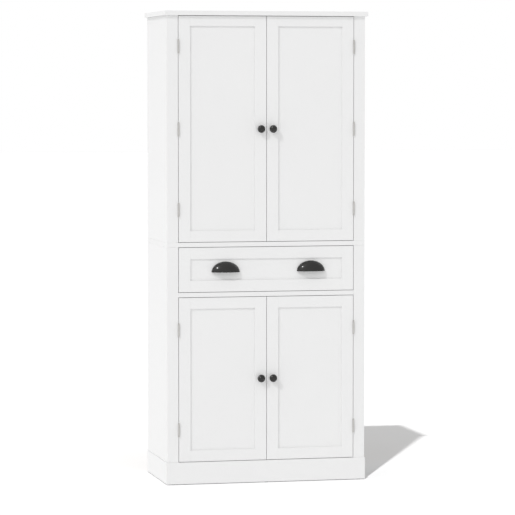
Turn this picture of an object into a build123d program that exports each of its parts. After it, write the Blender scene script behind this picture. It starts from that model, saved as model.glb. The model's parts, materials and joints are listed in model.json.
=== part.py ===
from build123d import *
import os

# A free-standing pantry cabinet: two pairs of framed doors with one drawer between them.
# Millimetres. X runs along the front, Y from the front to the back and Z up.
# The origin is on the floor, under the middle of the cabinet's overall box.

# Case
CASE_WIDTH = 788.0
CASE_DEPTH = 405.0
OVERALL_HEIGHT = 1834.0
BOARD = 18.0                  # every case board, stile, door and drawer front
TOP_SIDE_OVERHANG = 11.0
TOP_FRONT_OVERHANG = 10.0
STILE_WIDTH = 44.0
PLINTH_HEIGHT = 85.0
PLINTH_PROUD = 3.0
BACK_PANEL = 4.0
BACK_RECESS = 12.0            # from the back panel to the rear edges of the sides
GROOVE_DEPTH = 7.0
PANEL_TONGUE = 6.0            # how far a panel's edge goes into its groove

# Doors and drawer front
REVEAL = 1.8
LOWER_DOOR_HEIGHT = 637.7
DRAWER_FRONT_HEIGHT = 172.5
FRAME_STILE = 46.0
FRAME_RAIL = 43.5
UPPER_TOP_RAIL = 39.0
DRAWER_RAIL = 44.7
FRAME_PANEL = 8.0
PANEL_SET_BACK = 5.0
FRAME_GROOVE = 8.0

# Shelves and their pins
UPPER_SHELF_COUNT = 2
SHELF = 15.0
SHELF_SIDE_GAP = 0.5
SHELF_SET_BACK = 28.0         # from the face of the doors
SHELF_REAR_GAP = 2.0
PIN_RADIUS = 2.4
PIN_DEPTH = 8.0
PIN_PLATE = 1.5
PIN_TONGUE_REACH = 10.0
PIN_TONGUE_WIDTH = 9.0
PIN_DROP = 6.0                # from the shelf's underside to the pin's axis
HOLE_PITCH = 32.0
HOLES_PER_SHELF = 5
PIN_ROWS = (60.0, 320.0)      # from the face of the doors

# Butt hinges
HINGE_HEIGHT = 53.0
HINGE_LEAF = 0.8
HINGE_LEAF_DEPTH = 15.0
HINGE_RADIUS = 3.0
HINGE_STAND_OFF = 3.2         # from the face of the doors to the pin's axis
HINGE_PIN_RADIUS = 1.2
HINGE_PIN_HEAD = 1.0
HINGE_PIN_HEAD_RADIUS = 2.0
KNUCKLES = 5
KNUCKLE_GAP = 0.2
HINGE_INSET_TOP = 117.0       # from an upper door's top edge to the hinge's middle
HINGE_INSET = 125.0
HINGE_SCREW_PITCH = 18.0
HINGE_SCREW_LENGTH = 14.0

# Knobs and cup pulls
KNOB_RADIUS = 15.2
KNOB_PROJECTION = 26.0
KNOB_RIM = 17.0
KNOB_BASE_RADIUS = 8.0
KNOB_BASE = 2.0
KNOB_NECK_RADIUS = 5.5
KNOB_NECK = 8.0
UPPER_KNOB_HEIGHT = 1378.5
LOWER_KNOB_HEIGHT = 408.5
PULL_HALF_WIDTH = 56.0
PULL_REACH = 29.0
PULL_WALL = 2.5
PULL_HEIGHT = 41.5
PULL_TOP = 865.5
PULL_SPACING = 340.0
PULL_OFFSET = 8.0             # both sit a little right of where the drawer's middle puts them
PULL_POST_X = 38.0
PULL_POST_RADIUS = 3.6
PULL_POST_RISE = 14.0         # from the pull's mouth to the post's axis
PULL_POST_LENGTH = 13.5

# Drawer box and its runners
DRAWER_BOARD = 15.0
DRAWER_BOX_DEPTH = 350.0
DRAWER_BOX_HEIGHT = 140.0
DRAWER_BOX_LIFT = 10.0        # from the deck to the box's lower edge
DRAWER_BOTTOM_PANEL = 5.0
DRAWER_BOTTOM_RISE = 12.0
DRAWER_GROOVE = 6.0
DRAWER_TONGUE = 5.0
RUNNER_SPACE = 12.7
RUNNER_HEIGHT = 35.0
RUNNER_STEEL = 1.2
RUNNER_LENGTH = 348.0
RUNNER_SET_BACK = 20.0
INNER_RUNNER_HEIGHT = 22.0
RUNNER_FLANGE = 9.0
CAGE_LENGTH = 90.0
CAGE_SET_BACK = 150.0
CAGE_STEEL = 0.6
CAGE_GAP = 1.1                # from the cage's web to the outer runner's web
BALL_RADIUS = 2.35
BALL_PITCH = 15.0
BALLS_PER_ROW = 5
PACKER_HEIGHT = 60.0

# Catches, wall rail, glides, dowels and screws
CATCH_WIDTH = 46.0
CATCH_DEPTH = 14.0
CATCH_HEIGHT = 13.0
CATCH_X = 60.0
CATCH_GAP = 0.5
STRIKE_WIDTH = 34.0
STRIKE_HEIGHT = 14.0
STRIKE = 1.2
STRIKE_DROP = 2.0             # from the door's top edge to the strike's
WALL_RAIL_HEIGHT = 60.0
WALL_HOLE_RADIUS = 2.75
WALL_HOLE_X = 250.0
GLIDE_HEIGHT = 2.0
GLIDE_RADIUS = 7.5
NAIL_RADIUS = 1.2
NAIL_LENGTH = 14.0
DOWEL_RADIUS = 4.0
DOWEL_LONG_END = 17.0
DOWEL_SHORT_END = 8.0
DOWEL_ROWS = (70.0, 340.0)    # from the face of the doors
SCREW_RADIUS = 1.5
STRIKE_SCREW_LENGTH = 12.0
CATCH_SCREW_BITE = 9.0        # how far a screw goes into the board behind what it holds
CATCH_SCREW_X = 15.0          # from the catch's middle
RUNNER_SCREW_LENGTH = 10.0
RUNNER_SCREW_INSET = 12.0     # from the runner's end
FRONT_SCREW_BITE = 12.0
LOW_SCREW_INSET = 76.0        # from the inner face of the drawer's side
LOW_SCREW_RISE = 6.0          # from the drawer's bottom panel
HIGH_SCREW_INSET = 8.0
HIGH_SCREW_DROP = 31.0        # from the drawer box's upper edge
BOLT_RADIUS = 2.0
BOLT_HEAD_RADIUS = 4.0
BOLT_HEAD = 2.5
FIT = 0.05                    # radial clearance of a pin, dowel or screw in its hole
LOOSE = 0.3                   # radial clearance of a bolt in its hole

# Heights
CASE_BOTTOM = GLIDE_HEIGHT + PLINTH_HEIGHT
LOWER_DOOR_BOTTOM = CASE_BOTTOM + REVEAL
LOWER_DOOR_TOP = LOWER_DOOR_BOTTOM + LOWER_DOOR_HEIGHT
DECK_BOTTOM = LOWER_DOOR_TOP + REVEAL
DECK_TOP = DECK_BOTTOM + BOARD
DRAWER_FRONT_BOTTOM = DECK_TOP + REVEAL
DRAWER_FRONT_TOP = DRAWER_FRONT_BOTTOM + DRAWER_FRONT_HEIGHT
MID_BOTTOM = DRAWER_FRONT_TOP + REVEAL
MID_TOP = MID_BOTTOM + BOARD
UPPER_DOOR_BOTTOM = MID_TOP + REVEAL
TOP_BOTTOM = OVERALL_HEIGHT - BOARD
UPPER_DOOR_TOP = TOP_BOTTOM - REVEAL

# Depths
FACE = KNOB_PROJECTION - (CASE_DEPTH + KNOB_PROJECTION) / 2
BEHIND_FACE = FACE + BOARD
REAR = FACE + CASE_DEPTH
BACK_REAR = REAR - BACK_RECESS
BACK_FRONT = BACK_REAR - BACK_PANEL
FRAME_PANEL_Y = (FACE + PANEL_SET_BACK, FACE + PANEL_SET_BACK + FRAME_PANEL)
HINGE_Y = FACE - HINGE_STAND_OFF

# Widths, from the middle to the right
SIDE_OUTER = CASE_WIDTH / 2
SIDE_INNER = SIDE_OUTER - BOARD
OPENING = SIDE_OUTER - STILE_WIDTH
PLINTH_OUTER = SIDE_OUTER + PLINTH_PROUD
PLINTH_INNER = PLINTH_OUTER - BOARD
PLINTH_FRONT = FACE - PLINTH_PROUD
DOOR_INNER = REVEAL / 2
DOOR_OUTER = OPENING - REVEAL
HINGE_X = OPENING - REVEAL / 2
DRAWER_OUTER = OPENING - RUNNER_SPACE
DRAWER_INNER = DRAWER_OUTER - DRAWER_BOARD

# Shelf heights, so that the bays over each other are equal
UPPER_BAY = (TOP_BOTTOM - MID_TOP - UPPER_SHELF_COUNT * SHELF) / (UPPER_SHELF_COUNT + 1)
LOWER_BAY = (DECK_BOTTOM - CASE_BOTTOM - SHELF) / 2
UPPER_SHELVES = [MID_TOP + UPPER_BAY + step * (UPPER_BAY + SHELF) for step in range(UPPER_SHELF_COUNT)]
LOWER_SHELF = CASE_BOTTOM + LOWER_BAY

# Drawer box
BOX_BOTTOM = DECK_TOP + DRAWER_BOX_LIFT
BOX_TOP = BOX_BOTTOM + DRAWER_BOX_HEIGHT
BOX_REAR = BEHIND_FACE + DRAWER_BOX_DEPTH
BOX_FRONT_INNER = BEHIND_FACE + DRAWER_BOARD
BOX_BACK_INNER = BOX_REAR - DRAWER_BOARD
RUNNER_Z = (BOX_BOTTOM + BOX_TOP) / 2
RUNNER_Y = (FACE + RUNNER_SET_BACK, FACE + RUNNER_SET_BACK + RUNNER_LENGTH)
PULL_MOUTH = PULL_TOP - PULL_HEIGHT
PULL_X = (PULL_OFFSET - PULL_SPACING / 2, PULL_OFFSET + PULL_SPACING / 2)

UPPER_HINGES = (
    UPPER_DOOR_TOP - HINGE_INSET_TOP,
    (UPPER_DOOR_TOP + UPPER_DOOR_BOTTOM) / 2,
    UPPER_DOOR_BOTTOM + HINGE_INSET,
)
LOWER_HINGES = (LOWER_DOOR_TOP - HINGE_INSET, LOWER_DOOR_BOTTOM + HINGE_INSET)

ON_BASE = (Align.CENTER, Align.CENTER, Align.MIN)
LEFTWARD = (-1, 0, 0)
RIGHTWARD = (1, 0, 0)
FORWARD = (0, -1, 0)
BACKWARD = (0, 1, 0)
UPWARD = (0, 0, 1)


def block(x_span, y_span, z_span):
    """A board from its low and high place along each axis."""
    spans = (x_span, y_span, z_span)
    size = [high - low for low, high in spans]
    middle = [(high + low) / 2 for low, high in spans]
    return Pos(*middle) * Box(*size)


def across(half_width):
    """The span that is even about the middle."""
    return (-half_width, half_width)


def rod(start, along, length, radius):
    """A cylinder of the given length from its start point along a direction."""
    return Plane(origin=start, z_dir=along) * Cylinder(radius, length, align=ON_BASE)


def wood_screw(start, along, length, clearance=0.0):
    """A screw whose countersunk head, twice its shank's width, is flush with the start point."""
    radius = SCREW_RADIUS + clearance
    head = Cone(2 * radius, radius, radius, align=ON_BASE)
    shank = Cylinder(radius, length + clearance, align=ON_BASE)
    return Plane(origin=start, z_dir=along) * (head + shank)


def bolt(start, along, length):
    """A machine screw whose head sits on the surface at the start point."""
    head = Pos(0, 0, -BOLT_HEAD) * Cylinder(BOLT_HEAD_RADIUS, BOLT_HEAD, align=ON_BASE)
    shank = Cylinder(BOLT_RADIUS, length, align=ON_BASE)
    return Plane(origin=start, z_dir=along) * (head + shank)


def flipped(shape):
    """The shape's mirror image on the other side of the cabinet."""
    return mirror(shape, about=Plane.YZ)


def both_sides(shapes):
    """The shapes with their mirror images."""
    return shapes + [flipped(shape) for shape in shapes]


# Dowels

def dowel_pair(height, down, up, x, clearance=0.0):
    """Two upright dowels on the right, across the joint at this height."""
    radius = DOWEL_RADIUS + clearance
    length = down + up + 2 * clearance
    low = height - down - clearance
    return [rod((x, FACE + row, low), UPWARD, length, radius) for row in DOWEL_ROWS]


def deck_dowel_pair(clearance=0.0):
    """Two level dowels on the right, between the drawer deck and the side."""
    length = DOWEL_LONG_END + DOWEL_SHORT_END + 2 * clearance
    start = SIDE_INNER - DOWEL_LONG_END - clearance
    height = (DECK_BOTTOM + DECK_TOP) / 2
    radius = DOWEL_RADIUS + clearance
    return [rod((start, FACE + row, height), RIGHTWARD, length, radius) for row in DOWEL_ROWS]


def dowels(clearance=0.0):
    """All the dowels of the case, or their holes when given clearance."""
    side_x = (SIDE_INNER + SIDE_OUTER) / 2
    foot_x = (PLINTH_INNER + SIDE_OUTER) / 2
    right = dowel_pair(TOP_BOTTOM, DOWEL_LONG_END, DOWEL_SHORT_END, side_x, clearance)
    right += dowel_pair(MID_TOP, DOWEL_SHORT_END, DOWEL_LONG_END, side_x, clearance)
    right += dowel_pair(MID_BOTTOM, DOWEL_LONG_END, DOWEL_SHORT_END, side_x, clearance)
    right += dowel_pair(CASE_BOTTOM, DOWEL_LONG_END, DOWEL_LONG_END, foot_x, clearance)
    right += deck_dowel_pair(clearance)
    return both_sides(right)


# Case boards

def side(bottom, top, shelves):
    """A right-hand side board with its back groove and its rows of shelf-pin holes."""
    board = block((SIDE_INNER, SIDE_OUTER), (BEHIND_FACE, REAR), (bottom, top))
    board -= block((SIDE_INNER, SIDE_INNER + GROOVE_DEPTH), (BACK_FRONT, BACK_REAR), (bottom, top))
    holes = []
    for shelf in shelves:
        for row in PIN_ROWS:
            for step in range(HOLES_PER_SHELF):
                height = shelf - PIN_DROP + (step - HOLES_PER_SHELF // 2) * HOLE_PITCH
                start = (SIDE_INNER, FACE + row, height)
                holes.append(rod(start, RIGHTWARD, PIN_DEPTH + FIT, PIN_RADIUS + FIT))
    return board - holes - dowels(FIT)


def top_board():
    """The top, over the sides and doors, with a groove for the back panel."""
    x_span = across(SIDE_OUTER + TOP_SIDE_OVERHANG)
    board = block(x_span, (FACE - TOP_FRONT_OVERHANG, REAR), (TOP_BOTTOM, OVERALL_HEIGHT))
    groove_z = (TOP_BOTTOM, TOP_BOTTOM + GROOVE_DEPTH)
    board -= block(across(SIDE_INNER + PANEL_TONGUE), (BACK_FRONT, BACK_REAR), groove_z)
    return board - dowels(FIT) - catch_screws(TOP_BOTTOM, FIT)


def mid_board():
    """The full-width board between the drawer and the upper cupboard."""
    board = block(across(SIDE_OUTER), (FACE, REAR), (MID_BOTTOM, MID_TOP))
    groove_x = across(SIDE_INNER + PANEL_TONGUE)
    groove_y = (BACK_FRONT, BACK_REAR)
    board -= block(groove_x, groove_y, (MID_BOTTOM, MID_BOTTOM + GROOVE_DEPTH))
    board -= block(groove_x, groove_y, (MID_TOP - GROOVE_DEPTH, MID_TOP))
    return board - dowels(FIT)


def drawer_deck():
    """The board under the drawer, notched round the stiles."""
    board = block(across(SIDE_INNER), (BEHIND_FACE, BACK_FRONT), (DECK_BOTTOM, DECK_TOP))
    board += block(across(OPENING), (FACE, BEHIND_FACE), (DECK_BOTTOM, DECK_TOP))
    return board - dowels(FIT) - catch_screws(DECK_BOTTOM, FIT)


def floor_board():
    """The cupboard floor, level with the top of the plinth that holds it."""
    y_span = (PLINTH_FRONT + BOARD, REAR)
    return block(across(PLINTH_INNER), y_span, (CASE_BOTTOM - BOARD, CASE_BOTTOM))


def back_panel(bottom, top):
    """A thin back panel held in the grooves of the sides."""
    return block(across(SIDE_INNER + PANEL_TONGUE), (BACK_FRONT, BACK_REAR), (bottom, top))


def stile(bottom, top, hinges):
    """The right-hand front stile beside a pair of doors."""
    board = block((OPENING, SIDE_OUTER), (FACE, BEHIND_FACE), (bottom, top))
    return board - frame_leaf_screws(hinges, FIT)


def plinth_board(corners, top):
    """A plinth board from the corners of its outline on the floor."""
    outline = make_face(Polyline(*corners, close=True))
    return Pos(0, 0, GLIDE_HEIGHT) * extrude(outline, top - GLIDE_HEIGHT)


def plinth_front():
    """The front plinth board, mitred into the side ones."""
    corners = [
        (-PLINTH_OUTER, PLINTH_FRONT),
        (PLINTH_OUTER, PLINTH_FRONT),
        (PLINTH_INNER, PLINTH_FRONT + BOARD),
        (-PLINTH_INNER, PLINTH_FRONT + BOARD),
    ]
    return plinth_board(corners, CASE_BOTTOM) - glides(FIT)


def plinth_side():
    """The right-hand plinth board."""
    corners = [
        (PLINTH_OUTER, PLINTH_FRONT),
        (PLINTH_OUTER, REAR),
        (PLINTH_INNER, REAR),
        (PLINTH_INNER, PLINTH_FRONT + BOARD),
    ]
    return plinth_board(corners, CASE_BOTTOM) - glides(FIT) - dowels(FIT)


def plinth_back():
    """The rear plinth board, under the cupboard floor."""
    return block(across(PLINTH_INNER), (REAR - BOARD, REAR), (GLIDE_HEIGHT, CASE_BOTTOM - BOARD))


def glides(clearance=0.0):
    """Plastic glides on nails under the plinth, or their nail holes when given clearance."""
    front_y = PLINTH_FRONT + BOARD / 2
    side_x = PLINTH_OUTER - BOARD / 2
    corner_x = PLINTH_INNER - GLIDE_RADIUS
    rear_y = REAR - 2 * GLIDE_RADIUS
    places = [(0, front_y), (corner_x, front_y), (side_x, 0), (side_x, rear_y)]
    places += [(-x, y) for x, y in places if x > 0]
    pieces = []
    for x, y in places:
        pad = rod((x, y, 0), UPWARD, GLIDE_HEIGHT, GLIDE_RADIUS)
        nail_start = (x, y, GLIDE_HEIGHT / 2)
        nail = rod(nail_start, UPWARD, NAIL_LENGTH + clearance, NAIL_RADIUS + clearance)
        pieces.append(nail if clearance else pad + nail)
    return pieces


def wall_rail():
    """The board under the top that screws go through into the wall."""
    z_span = (TOP_BOTTOM - WALL_RAIL_HEIGHT, TOP_BOTTOM)
    board = block(across(SIDE_INNER), (BACK_FRONT - BOARD, BACK_FRONT), z_span)
    return board - wall_holes()


def wall_holes():
    """The two holes through the wall rail and the back panel behind it."""
    height = TOP_BOTTOM - WALL_RAIL_HEIGHT / 2
    depth = BOARD + BACK_PANEL
    start = (WALL_HOLE_X, BACK_FRONT - BOARD, height)
    return both_sides([rod(start, BACKWARD, depth, WALL_HOLE_RADIUS)])


# Shelves

def shelf(height):
    """A loose shelf with its underside at the given height."""
    y_span = (FACE + SHELF_SET_BACK, BACK_FRONT - SHELF_REAR_GAP)
    return block(across(SIDE_INNER - SHELF_SIDE_GAP), y_span, (height, height + SHELF))


def shelf_pin(height, y):
    """A right-hand spoon pin that holds a shelf at the given height."""
    y_span = (y - PIN_TONGUE_WIDTH / 2, y + PIN_TONGUE_WIDTH / 2)
    tongue = block((SIDE_INNER - PIN_TONGUE_REACH, SIDE_INNER), y_span, (height - PIN_PLATE, height))
    plate = block((SIDE_INNER - PIN_PLATE, SIDE_INNER), y_span, (height - 2 * PIN_DROP, height))
    shank = rod((SIDE_INNER - PIN_PLATE / 2, y, height - PIN_DROP), RIGHTWARD, PIN_DEPTH, PIN_RADIUS)
    return tongue + plate + shank


def shelf_pins():
    """Four pins under every shelf."""
    heights = UPPER_SHELVES + [LOWER_SHELF]
    return both_sides([shelf_pin(height, FACE + row) for height in heights for row in PIN_ROWS])


# Hinges, all drawn on the right-hand side

def frame_leaf_screws(hinges, clearance=0.0):
    """The screws that hold hinge leaves to a right-hand stile."""
    starts = [(OPENING - HINGE_LEAF, *place) for place in hinge_screw_places(hinges)]
    return [wood_screw(start, RIGHTWARD, HINGE_SCREW_LENGTH, clearance) for start in starts]


def door_leaf_screws(hinges, clearance=0.0):
    """The screws that hold hinge leaves to a right-hand door's edge."""
    starts = [(DOOR_OUTER + HINGE_LEAF, *place) for place in hinge_screw_places(hinges)]
    return [wood_screw(start, LEFTWARD, HINGE_SCREW_LENGTH, clearance) for start in starts]


def hinge_screw_places(hinges):
    """The depth and height of each screw: three in each leaf."""
    depth = FACE + HINGE_LEAF_DEPTH / 2
    return [(depth, middle + step * HINGE_SCREW_PITCH) for middle in hinges for step in (-1, 0, 1)]


def hinge_leaf(middle, leaf_x, knuckles):
    """A leaf in the reveal, with the knuckles that belong to it round the pin."""
    bottom = middle - HINGE_HEIGHT / 2
    pitch = (HINGE_HEIGHT + KNUCKLE_GAP) / KNUCKLES
    leaf = block(leaf_x, (FACE, FACE + HINGE_LEAF_DEPTH), (bottom, bottom + HINGE_HEIGHT))
    for number in knuckles:
        low = bottom + number * pitch
        high = low + pitch - KNUCKLE_GAP
        leaf += block(leaf_x, (HINGE_Y, FACE), (low, high))
        leaf += rod((HINGE_X, HINGE_Y, low), UPWARD, high - low, HINGE_RADIUS)
    return leaf - rod((HINGE_X, HINGE_Y, bottom), UPWARD, HINGE_HEIGHT, HINGE_PIN_RADIUS + FIT)


def frame_leaf(middle):
    """The half of a hinge that is screwed to the stile."""
    leaf = hinge_leaf(middle, (OPENING - HINGE_LEAF, OPENING), range(0, KNUCKLES, 2))
    return leaf - frame_leaf_screws([middle], FIT)


def door_leaf(middle):
    """The half of a hinge that is screwed to the door."""
    leaf = hinge_leaf(middle, (DOOR_OUTER, DOOR_OUTER + HINGE_LEAF), range(1, KNUCKLES, 2))
    return leaf - door_leaf_screws([middle], FIT)


def hinge_pin(middle):
    """A hinge pin with a small head at each end."""
    bottom = (HINGE_X, HINGE_Y, middle - HINGE_HEIGHT / 2 - HINGE_PIN_HEAD)
    top = (HINGE_X, HINGE_Y, middle + HINGE_HEIGHT / 2)
    pin = rod(bottom, UPWARD, HINGE_HEIGHT + 2 * HINGE_PIN_HEAD, HINGE_PIN_RADIUS)
    for start in (bottom, top):
        pin += rod(start, UPWARD, HINGE_PIN_HEAD, HINGE_PIN_HEAD_RADIUS)
    return pin


# Framed fronts

def frame(x_span, z_span, bottom_rail, top_rail):
    """Two stiles and two rails with stub tenons, grooved for a panel."""
    left, right = x_span
    bottom, top = z_span
    y_span = (FACE, BEHIND_FACE)
    inner_left = left + FRAME_STILE
    inner_right = right - FRAME_STILE
    groove_left = block((inner_left - FRAME_GROOVE, inner_left), FRAME_PANEL_Y, z_span)
    groove_right = block((inner_right, inner_right + FRAME_GROOVE), FRAME_PANEL_Y, z_span)
    stiles = [
        block((left, inner_left), y_span, z_span) - groove_left,
        block((inner_right, right), y_span, z_span) - groove_right,
    ]
    tenon_x = (inner_left - FRAME_GROOVE, inner_right + FRAME_GROOVE)
    rails = []
    for low, high, groove_z in (
        (bottom, bottom + bottom_rail, (bottom + bottom_rail - FRAME_GROOVE, bottom + bottom_rail)),
        (top - top_rail, top, (top - top_rail, top - top_rail + FRAME_GROOVE)),
    ):
        rail = block((inner_left, inner_right), y_span, (low, high))
        rail += block(tenon_x, FRAME_PANEL_Y, (low, high))
        rails.append(rail - block(tenon_x, FRAME_PANEL_Y, groove_z))
    return stiles + rails


def frame_panel(x_span, z_span, bottom_rail, top_rail):
    """The flat panel inside a frame, with its edges in the grooves."""
    left, right = x_span
    bottom, top = z_span
    panel_x = (left + FRAME_STILE - PANEL_TONGUE, right - FRAME_STILE + PANEL_TONGUE)
    panel_z = (bottom + bottom_rail - PANEL_TONGUE, top - top_rail + PANEL_TONGUE)
    return block(panel_x, FRAME_PANEL_Y, panel_z)


def knob(height):
    """A turned knob on a right-hand door's meeting stile."""
    base = (KNOB_BASE_RADIUS, FACE - KNOB_BASE)
    neck = (KNOB_NECK_RADIUS, FACE - KNOB_NECK)
    rim = (KNOB_RADIUS, FACE - KNOB_RIM)
    tip = (0, FACE - KNOB_PROJECTION)
    outline = Line((0, FACE), (KNOB_BASE_RADIUS, FACE))
    outline += Line((KNOB_BASE_RADIUS, FACE), base)
    outline += Spline(base, neck, rim, tangents=((-1, -1), (0, -1)))
    dome_reach = KNOB_PROJECTION - KNOB_RIM
    outline += EllipticalCenterArc((0, FACE - KNOB_RIM), KNOB_RADIUS, dome_reach, 270, arc_size=90)
    outline += Line(tip, (0, FACE))
    body = revolve(make_face(outline), Axis.Y)
    hole = rod((0, FACE, 0), FORWARD, KNOB_RIM, BOLT_RADIUS + FIT)
    return Pos(knob_x(), 0, height) * (body - hole)


def knob_x():
    """The knob's distance from the cabinet's middle: the centre of the meeting stile."""
    return DOOR_INNER + FRAME_STILE / 2


def knob_bolt(height):
    """The bolt that holds a knob, from the door's back."""
    return bolt((knob_x(), BEHIND_FACE, height), FORWARD, BOARD + KNOB_RIM - BOLT_HEAD)


def strike(door_top):
    """The steel plate on a door's back that the catch pulls."""
    x_span = (CATCH_X - STRIKE_WIDTH / 2, CATCH_X + STRIKE_WIDTH / 2)
    top = door_top - STRIKE_DROP
    plate = block(x_span, (BEHIND_FACE, BEHIND_FACE + STRIKE), (top - STRIKE_HEIGHT, top))
    return plate - strike_screw(door_top, FIT)


def strike_screw(door_top, clearance=0.0):
    """The screw through the middle of a strike plate."""
    height = door_top - STRIKE_DROP - STRIKE_HEIGHT / 2
    start = (CATCH_X, BEHIND_FACE + STRIKE, height)
    return wood_screw(start, FORWARD, STRIKE_SCREW_LENGTH, clearance)


def catch(ceiling):
    """A magnetic catch under the board that is the cupboard's ceiling."""
    front = BEHIND_FACE + STRIKE + CATCH_GAP
    x_span = (CATCH_X - CATCH_WIDTH / 2, CATCH_X + CATCH_WIDTH / 2)
    body = block(x_span, (front, front + CATCH_DEPTH), (ceiling - CATCH_HEIGHT, ceiling))
    return both_sides([body - catch_screws(ceiling, FIT)])


def catch_screws(ceiling, clearance=0.0):
    """The two screws up through each catch."""
    y = BEHIND_FACE + STRIKE + CATCH_GAP + CATCH_DEPTH / 2
    length = CATCH_HEIGHT + CATCH_SCREW_BITE
    right = []
    for x in across(CATCH_SCREW_X):
        start = (CATCH_X + x, y, ceiling - CATCH_HEIGHT)
        right.append(wood_screw(start, UPWARD, length, clearance))
    return both_sides(right)


def add_door(parts, name, x_sign, bottom, top, top_rail, hinges, knob_height):
    """Put the pieces of one door in the parts: drawn on the right, mirrored for the left."""
    x_span = (DOOR_INNER, DOOR_OUTER)
    z_span = (bottom, top)
    holes = door_leaf_screws(hinges, FIT) + [strike_screw(top, FIT)]
    holes.append(rod((knob_x(), BEHIND_FACE, knob_height), FORWARD, BOARD, BOLT_RADIUS + LOOSE))
    pieces = {
        "frame": [piece - holes for piece in frame(x_span, z_span, FRAME_RAIL, top_rail)],
        "panel": [frame_panel(x_span, z_span, FRAME_RAIL, top_rail)],
        "knob": [knob(knob_height)],
        "hinge_leaves": [door_leaf(middle) for middle in hinges],
        "fixings": door_leaf_screws(hinges) + [strike(top), strike_screw(top), knob_bolt(knob_height)],
    }
    for piece, solids in pieces.items():
        parts[f"{name}_{piece}"] = solids if x_sign > 0 else [flipped(solid) for solid in solids]


# Drawer

def pull_screw_places():
    """Where the bolts of both cup pulls go: the distance across and the height."""
    height = PULL_MOUTH + PULL_POST_RISE
    return [(middle + post, height) for middle in PULL_X for post in across(PULL_POST_X)]


def pull_bolt_holes():
    """The bolt holes through the drawer box's front and the panel."""
    starts = [(x, BOX_FRONT_INNER, z) for x, z in pull_screw_places()]
    return [rod(start, FORWARD, BOX_FRONT_INNER - FACE, BOLT_RADIUS + LOOSE) for start in starts]


def cup_form(inset):
    """An egg-shaped solid round the middle of the pull's mouth, set in from the outer face."""
    size = (PULL_HALF_WIDTH - inset, PULL_REACH - inset, PULL_HEIGHT - inset)
    return scale(Sphere(1), by=size)


def cup_pull(middle):
    """A cup pull at a place across: a thin cup open at the bottom, with two posts for its bolts."""
    cup = cup_form(0) - cup_form(PULL_WALL)
    cup &= block(across(PULL_HALF_WIDTH), (-PULL_REACH, 0), (0, PULL_HEIGHT))
    for x in across(PULL_POST_X):
        start = (x, 0, PULL_POST_RISE)
        cup += rod(start, FORWARD, PULL_POST_LENGTH, PULL_POST_RADIUS)
        cup -= rod(start, FORWARD, PULL_POST_LENGTH - PULL_WALL, BOLT_RADIUS + FIT)
    return Pos(middle, FACE + PANEL_SET_BACK, PULL_MOUTH) * cup


def front_screws(clearance=0.0):
    """The screws from inside the drawer box into its framed front."""
    above_bottom = BOX_BOTTOM + DRAWER_BOTTOM_RISE + DRAWER_BOTTOM_PANEL
    low = (DRAWER_INNER - LOW_SCREW_INSET, above_bottom + LOW_SCREW_RISE)
    high = (DRAWER_INNER - HIGH_SCREW_INSET, BOX_TOP - HIGH_SCREW_DROP)
    starts = [(x, BOX_FRONT_INNER, z) for x, z in (low, high)]
    length = DRAWER_BOARD + FRONT_SCREW_BITE
    return both_sides([wood_screw(start, FORWARD, length, clearance) for start in starts])


def runner_screws(x, along, clearance=0.0):
    """Three screws along a right-hand runner."""
    low, high = RUNNER_Y
    places = [low + RUNNER_SCREW_INSET, (low + high) / 2, high - RUNNER_SCREW_INSET]
    return [wood_screw((x, y, RUNNER_Z), along, RUNNER_SCREW_LENGTH, clearance) for y in places]


def outer_runner():
    """The right-hand channel that is fixed in the cabinet."""
    half = RUNNER_HEIGHT / 2
    channel = block((OPENING - RUNNER_FLANGE, OPENING), RUNNER_Y, (RUNNER_Z - half, RUNNER_Z + half))
    half -= RUNNER_STEEL
    web_x = OPENING - RUNNER_STEEL
    channel -= block((OPENING - RUNNER_FLANGE, web_x), RUNNER_Y, (RUNNER_Z - half, RUNNER_Z + half))
    return channel - runner_screws(web_x, RIGHTWARD, FIT)


def inner_runner():
    """The right-hand channel that is fixed to the drawer."""
    half = INNER_RUNNER_HEIGHT / 2
    edge = DRAWER_OUTER + RUNNER_FLANGE
    channel = block((DRAWER_OUTER, edge), RUNNER_Y, (RUNNER_Z - half, RUNNER_Z + half))
    half -= RUNNER_STEEL
    web_x = DRAWER_OUTER + RUNNER_STEEL
    channel -= block((web_x, edge), RUNNER_Y, (RUNNER_Z - half, RUNNER_Z + half))
    return channel - runner_screws(web_x, LEFTWARD, FIT)


def ball_cage():
    """The right-hand ball cage with its balls, half way between the two channels."""
    y_span = (FACE + CAGE_SET_BACK, FACE + CAGE_SET_BACK + CAGE_LENGTH)
    web_x = OPENING - RUNNER_STEEL - CAGE_GAP
    edge_x = OPENING - RUNNER_FLANGE
    ball_x = (edge_x + web_x) / 2
    ball_rise = (RUNNER_HEIGHT / 2 - RUNNER_STEEL + INNER_RUNNER_HEIGHT / 2) / 2
    half = ball_rise + CAGE_STEEL / 2
    cage = block((edge_x, web_x), y_span, (RUNNER_Z - half, RUNNER_Z + half))
    half -= CAGE_STEEL
    cage -= block((edge_x, web_x - CAGE_STEEL), y_span, (RUNNER_Z - half, RUNNER_Z + half))
    balls = []
    for number in range(BALLS_PER_ROW):
        y = y_span[0] + CAGE_LENGTH / 2 + (number - BALLS_PER_ROW // 2) * BALL_PITCH
        for rise in across(ball_rise):
            centre = (ball_x, y, RUNNER_Z + rise)
            balls.append(Pos(*centre) * Sphere(BALL_RADIUS))
            cage -= Pos(*centre) * Cylinder(BALL_RADIUS + FIT, 2 * CAGE_STEEL)
    return [cage] + balls


def runner_packer():
    """The right-hand block that brings the runner in line with the stile."""
    z_span = (RUNNER_Z - PACKER_HEIGHT / 2, RUNNER_Z + PACKER_HEIGHT / 2)
    packer = block((OPENING, SIDE_INNER), (BEHIND_FACE, BACK_FRONT), z_span)
    return packer - runner_screws(OPENING - RUNNER_STEEL, RIGHTWARD, FIT)


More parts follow.
